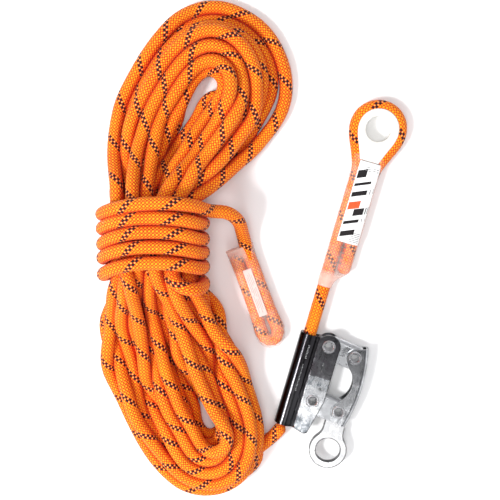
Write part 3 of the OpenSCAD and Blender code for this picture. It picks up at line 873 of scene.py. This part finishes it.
paintedSteelTones = {
    # Painted reflection tones for the steel: dark tube and upper cheeks, near black on the tube's far side,
    # cloudy pads, and a dark line along rounded edges.
    "paintedDarkCheek": (0.085, 0.078, 0.086),
    "drawn": (0.048, 0.045, 0.050),
    "black": (0.012, 0.012, 0.014),
    "paintedCloudyPad": (0.16, 0.18, 0.20),
    "tubeEdge": -0.0186,        # x where the tube turns into the cheeks
    "tubeSide": -0.0316,        # x beyond which the tube is painted darkest
    "padStep": 0.0214,          # y of the cheeks' step; above it the cheeks are painted darker
    "padShine": 0.0098,         # y of the bright part's upper end
    "padFoot": -0.0140,         # and of its lower end
    # the cheeks' straight edges: a point on each, and the direction in from it
    "sides": (((0.0023, 0.0003), (-1.0, 0.0)), ((0.0023, 0.0003), (-0.977, 0.2128)),
              ((-0.0048, -0.0322), (-0.5387, 0.843)), ((-0.0084, -0.0345), (0.2655, 0.964))),
    "edge": (0.0003, 0.0009),       # where the painted dark line of a rounded edge begins to fade, and ends
    "edgeTone": (0.03, 0.03, 0.032),
}


def housingShade(sums, marks, colour, h=paintedSteelTones):
    # Painted reflections: the tube and the upper cheeks are painted dark, with cloudy edges, the tube
    # darkest on its far side;
    # the pads are painted cloudy above and below a bright middle, and a narrow dark line is painted along
    # the cheeks' straight edges.
    x, y = sums.parts(sums.objectPlace())[:2]
    drift = sums.step("MULTIPLY", sums.step("SUBTRACT", marks, 0.5), 0.03)
    level = sums.step("ADD", y, drift)
    paintedCheekMask = sums.step("MULTIPLY", sums.spread(y, h["padStep"] - 0.0002, h["padStep"] + 0.0002),
                      sums.spread(marks, 0.40, 0.58, 0.98, 0.55))
    above = sums.step("MULTIPLY", sums.spread(level, h["padShine"], h["padShine"] + 0.0012),
                      sums.spread(marks, 0.42, 0.55, 0.9, 0.1))
    below = sums.step("MULTIPLY", sums.spread(level, h["padFoot"], h["padFoot"] - 0.012),
                      sums.spread(marks, 0.40, 0.62, 0.95, 0.35))
    colour = sums.mixColour(sums.step("MAXIMUM", above, below), colour, h["paintedCloudyPad"])
    # Painted dark reflection on the tube, near black on its far side.
    tube = sums.spread(x, h["tubeEdge"] + 0.0006, h["tubeEdge"], 0.0, 0.95)
    colour = sums.mixColour(paintedCheekMask, colour, h["paintedDarkCheek"])
    colour = sums.mixColour(tube, colour, h["drawn"])
    tubeSide = sums.spread(x, h["tubeSide"] + 0.0007, h["tubeSide"], 0.0, 0.9)
    colour = sums.mixColour(tubeSide, colour, h["black"])
    inside = 1.0
    for place, inward in h["sides"]:
        dx, dy = sums.step("SUBTRACT", x, place[0]), sums.step("SUBTRACT", y, place[1])
        side = sums.step("ADD", sums.step("MULTIPLY", dx, inward[0]), sums.step("MULTIPLY", dy, inward[1]))
        inside = sums.step("MINIMUM", side, inside)
    return sums.mixColour(sums.spread(inside, *h["edge"], 1.0, 0.0), colour, h["edgeTone"])


eyeOutline = {
    "middle": (0.0192, -0.04495),
    "outer": 0.0177,
    "hole": 0.0115,
    "fillets": ((-0.0052, -0.02471), (0.0426, -0.02357)),
    "filletR": 0.014,
    "footY": -0.0333,
    "edge": (0.0004, 0.0010),       # where the painted dark line of the rounded edge begins to fade, and ends
    "edgeTone": (0.03, 0.03, 0.032),
}


def awayFrom(sums, x, y, place, lowerHalf=False):
    # Distance from a point; for a fillet, sideways only once above its middle.
    dx, dy = sums.step("SUBTRACT", x, place[0]), sums.step("SUBTRACT", y, place[1])
    if lowerHalf:
        dy = sums.step("MINIMUM", dy, 0)
    return sums.step("SQRT", sums.step("ADD", sums.step("MULTIPLY", dx, dx), sums.step("MULTIPLY", dy, dy)))


def plateShade(sums, marks, colour, e=eyeOutline):
    # A narrow dark line is painted along the plate's rounded edges, a painted dark edge reflection. The
    # distance in from the outline is the ring's, or above the feet of the two fillets that outside both
    # fillet circles, and it is never more than the distance out from the hole.
    x, y = sums.parts(sums.objectPlace())[:2]
    away = awayFrom(sums, x, y, e["middle"])
    sides = [sums.step("SUBTRACT", awayFrom(sums, x, y, place, True), e["filletR"])
             for place in e["fillets"]]
    neck = sums.step("MINIMUM", sums.step("MINIMUM", *sides), sums.step("SUBTRACT", y, e["footY"]))
    inside = sums.step("MAXIMUM", sums.step("SUBTRACT", e["outer"], away), neck)
    inside = sums.step("MINIMUM", inside, sums.step("SUBTRACT", away, e["hole"]))
    return sums.mixColour(sums.spread(inside, *e["edge"], 1.0, 0.0), colour, e["edgeTone"])


couplerFold = {"middle": (-0.1200, 0.02135), "radius": 0.1528, "width": 0.0036}


def spineFold(sums, f=couplerFold):
    # A quarter-round fall towards the coupler's curved spine, by the distance from the arc's middle.
    x, y = sums.parts(sums.objectPlace())[:2]
    share = sums.spread(awayFrom(sums, x, y, f["middle"]), f["radius"] - f["width"], f["radius"] + 0.0004)
    curve = sums.step("SQRT", sums.step("SUBTRACT", 1, sums.step("MULTIPLY", share, share)))
    return sums.step("MULTIPLY", sums.step("SUBTRACT", curve, 1), f["width"])


metals = {
    "housingSteel": steelMaterial("housingSteel", (0.66, 0.67, 0.69), 0.15, 0.18, (1.0, 0.12, 1.0), 0.0004,
                                  shade=housingShade),
    "couplerSteel": steelMaterial("couplerSteel", (0.62, 0.63, 0.65), 0.15, 0.45, (1.0, 0.12, 1.0), 0.0006,
                                  fold=spineFold),
    "eyeSteel": steelMaterial("eyeSteel", (0.72, 0.72, 0.73), 0.2, 0.10, (1.0, 0.3, 1.0), 0.0002,
                              shade=plateShade),
    "satinStainless": steelMaterial("satinStainless", (0.62, 0.63, 0.65), 0.22, 0.3,
                                    (0.15, 1.0, 1.0), 0.0005),
    "camSteel": steelMaterial("camSteel", (0.46, 0.46, 0.48), 0.34, 0.35),
    "rivetSteel": steelMaterial("rivetSteel", (0.62, 0.62, 0.64), 0.2, 0.35),
    "springSteel": steelMaterial("springSteel", (0.42, 0.42, 0.45), 0.25, 0.2),
    "whiteNylon": plainMaterial("whiteNylon", (0.72, 0.70, 0.65), (0.82, 0.80, 0.76), 0.5, 300, 0.00006),
    "waxedThread": plainMaterial("waxedThread", (0.02, 0.018, 0.018), (0.10, 0.09, 0.09), 0.6, 2500),
}
finishes = {
    "housing": "housingSteel", "coupler": "couplerSteel", "eye_plate": "eyeSteel",
    "upper_bracket": "satinStainless", "lower_bracket": "satinStainless",
    "upper_cam": "camSteel", "lower_cam": "camSteel",
    "upper_housing_rivet": "rivetSteel", "lower_housing_rivet": "rivetSteel",
    "upper_coupler_rivet": "rivetSteel", "lower_coupler_rivet": "rivetSteel", "upper_spacer": "rivetSteel",
    "torsion_spring": "springSteel", "eye_washers": "whiteNylon",
    "eye_stitching": "waxedThread", "end_stitching": "waxedThread",
}
for node, finish in finishes.items():
    slots = cadNodes[node].data.materials
    slots.clear()
    slots.append(metals[finish])
thimblePiece = makeThimble(thimble)
thimblePiece.data.materials.append(metals["whiteNylon"])
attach(thimblePiece, "lifeline")
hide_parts("eye_thimble")
print("finishes given to", len(finishes), "CAD nodes, thimble made")


# Worn marks rolled into the tube and the cheek, as plain strokes.
marking = {
    "tubeMiddle": (-0.0282, 0.0087),
    "tubeRadius": 0.0087,
    "tubeLift": 0.00004,
    "cheekTop": 0.0154,
}


def onTube(across, along, lift):
    # across is the arc length round the tube from its top line.
    m = marking
    angle = across / m["tubeRadius"]
    r = m["tubeRadius"] + m["tubeLift"] + lift
    x, z = m["tubeMiddle"][0] + r * np.sin(angle), m["tubeMiddle"][1] + r * np.cos(angle)
    return np.stack([x, along, z], -1)


def onCheek(across, along, lift):
    # Flat on top of the upper cheek.
    return np.stack([across, along, marking["cheekTop"] + lift + 0 * across], -1)


def strokes(left, low, count, pitch, width, tall):
    # A row of short upright strokes of uneven height, one every pitch.
    k = np.arange(count)
    height = tall * (0.55 + 0.45 * np.cos(2.3 * k) ** 2)
    return [[(left, low + pitch * i), (left + h, low + pitch * i), (left + h, low + pitch * i + width),
             (left, low + pitch * i + width)] for i, h in zip(k, height)]


def makeMarks():
    # Each row: left edge, low end, count, pitch, width and height, in millimetres.
    tubeRows = strokes(1.0, 4, 18, 1.5, 0.45, 1.3) + strokes(-3.4, -26, 16, 1.6, 0.45, 1.4)
    tubeRows += strokes(1.2, 36, 9, 1.5, 0.5, 1.8)
    marks = flatQuads("tubeMarks", tubeRows, 0.0, onTube, cells=3)
    cheekRows = strokes(-14.2, 30, 11, 1.7, 0.5, 1.7) + strokes(-9.4, 28, 13, 1.7, 0.5, 1.5)
    return marks, flatQuads("cheekMarks", cheekRows, 0.0, onCheek, cells=3)


etched = plainMaterial("etchedMark", (0.30, 0.30, 0.31), (0.52, 0.52, 0.53), 0.5, 900)
for piece in makeMarks():
    piece.data.materials.append(etched)
    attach(piece, "grab_body")
print("marks made")


studio = {
    "floorSide": 9.0,
    "floor": (0.93, 0.93, 0.93),
    "overhead": (0.03, 0.03, 0.035),    # the room straight above
    "horizon": (0.68, 0.68, 0.70),      # and low down, all round
    "fade": (0.72, 0.92),               # heights of the direction over which one turns into the other
    "lamps": {
        # name: (place, aims at, size, watts)
        "frontSoftbox": ((0.15, -1.01, 1.30), (-0.05, 0.10, 0), (0.50, 1.30), 7),
        "leftLamp": ((-0.95, -0.55, 1.35), (-0.10, 0.10, 0), (0.35, 0.35), 26),
        "overheadSoftbox": ((-0.60, 0.75, 1.9), (-0.15, 0.12, 0), (1.2, 1.2), 4),
        "cameraLamp": ((-0.11, 0.27, 1.30), (-0.05, 0.10, 0), (0.55, 0.45), 5),
    },
}


def makeFloor(s):
    # A flat square grid that rises gently towards its rim, so that its edge is out of sight.
    line = np.linspace(-s["floorSide"] / 2, s["floorSide"] / 2, 33)
    x, y = np.meshgrid(line, line, indexing="ij")
    rim = np.clip(np.hypot(x, y) - s["floorSide"] * 0.3, 0, None)
    floor = gridMesh("floor", np.stack([x, y, 0.12 * rim**2], -1), closed=False)
    material, nodes, links, shader = newMaterial("paleFloor", Roughness=0.9)
    sums = Sums(nodes, links)
    tone = sums.spread(sums.noise(3, 2), 0.3, 0.7)
    pale = tuple(0.985 * c for c in s["floor"])
    links.new(sums.mixColour(tone, pale, s["floor"]), shader.inputs["Base Color"])
    floor.data.materials.append(material)


def makeLights(s):
    # The room is pale towards the horizon and dark overhead, by the height of the direction.
    world = bpy.data.worlds.new("studio")
    world.use_nodes = True
    nodes, links = world.node_tree.nodes, world.node_tree.links
    sums = Sums(nodes, links)
    direction = nodes.new("ShaderNodeTexCoord").outputs["Generated"]
    height = sums.spread(sums.parts(direction)[2], *s["fade"])
    links.new(sums.mixColour(height, s["horizon"], s["overhead"]), nodes["Background"].inputs[0])
    bpy.context.scene.world = world
    for name, (place, target, size, watts) in s["lamps"].items():
        data = bpy.data.lights.new(name, "AREA")
        data.shape = "RECTANGLE"
        data.size, data.size_y = size
        data.energy = watts
        lamp = bpy.data.objects.new(name, data)
        lamp.location = place
        lamp.rotation_euler = (Vector(target) - Vector(place)).to_track_quat("-Z", "Y").to_euler()
        bpy.context.collection.objects.link(lamp)


makeFloor(studio)
makeLights(studio)
print("studio made")
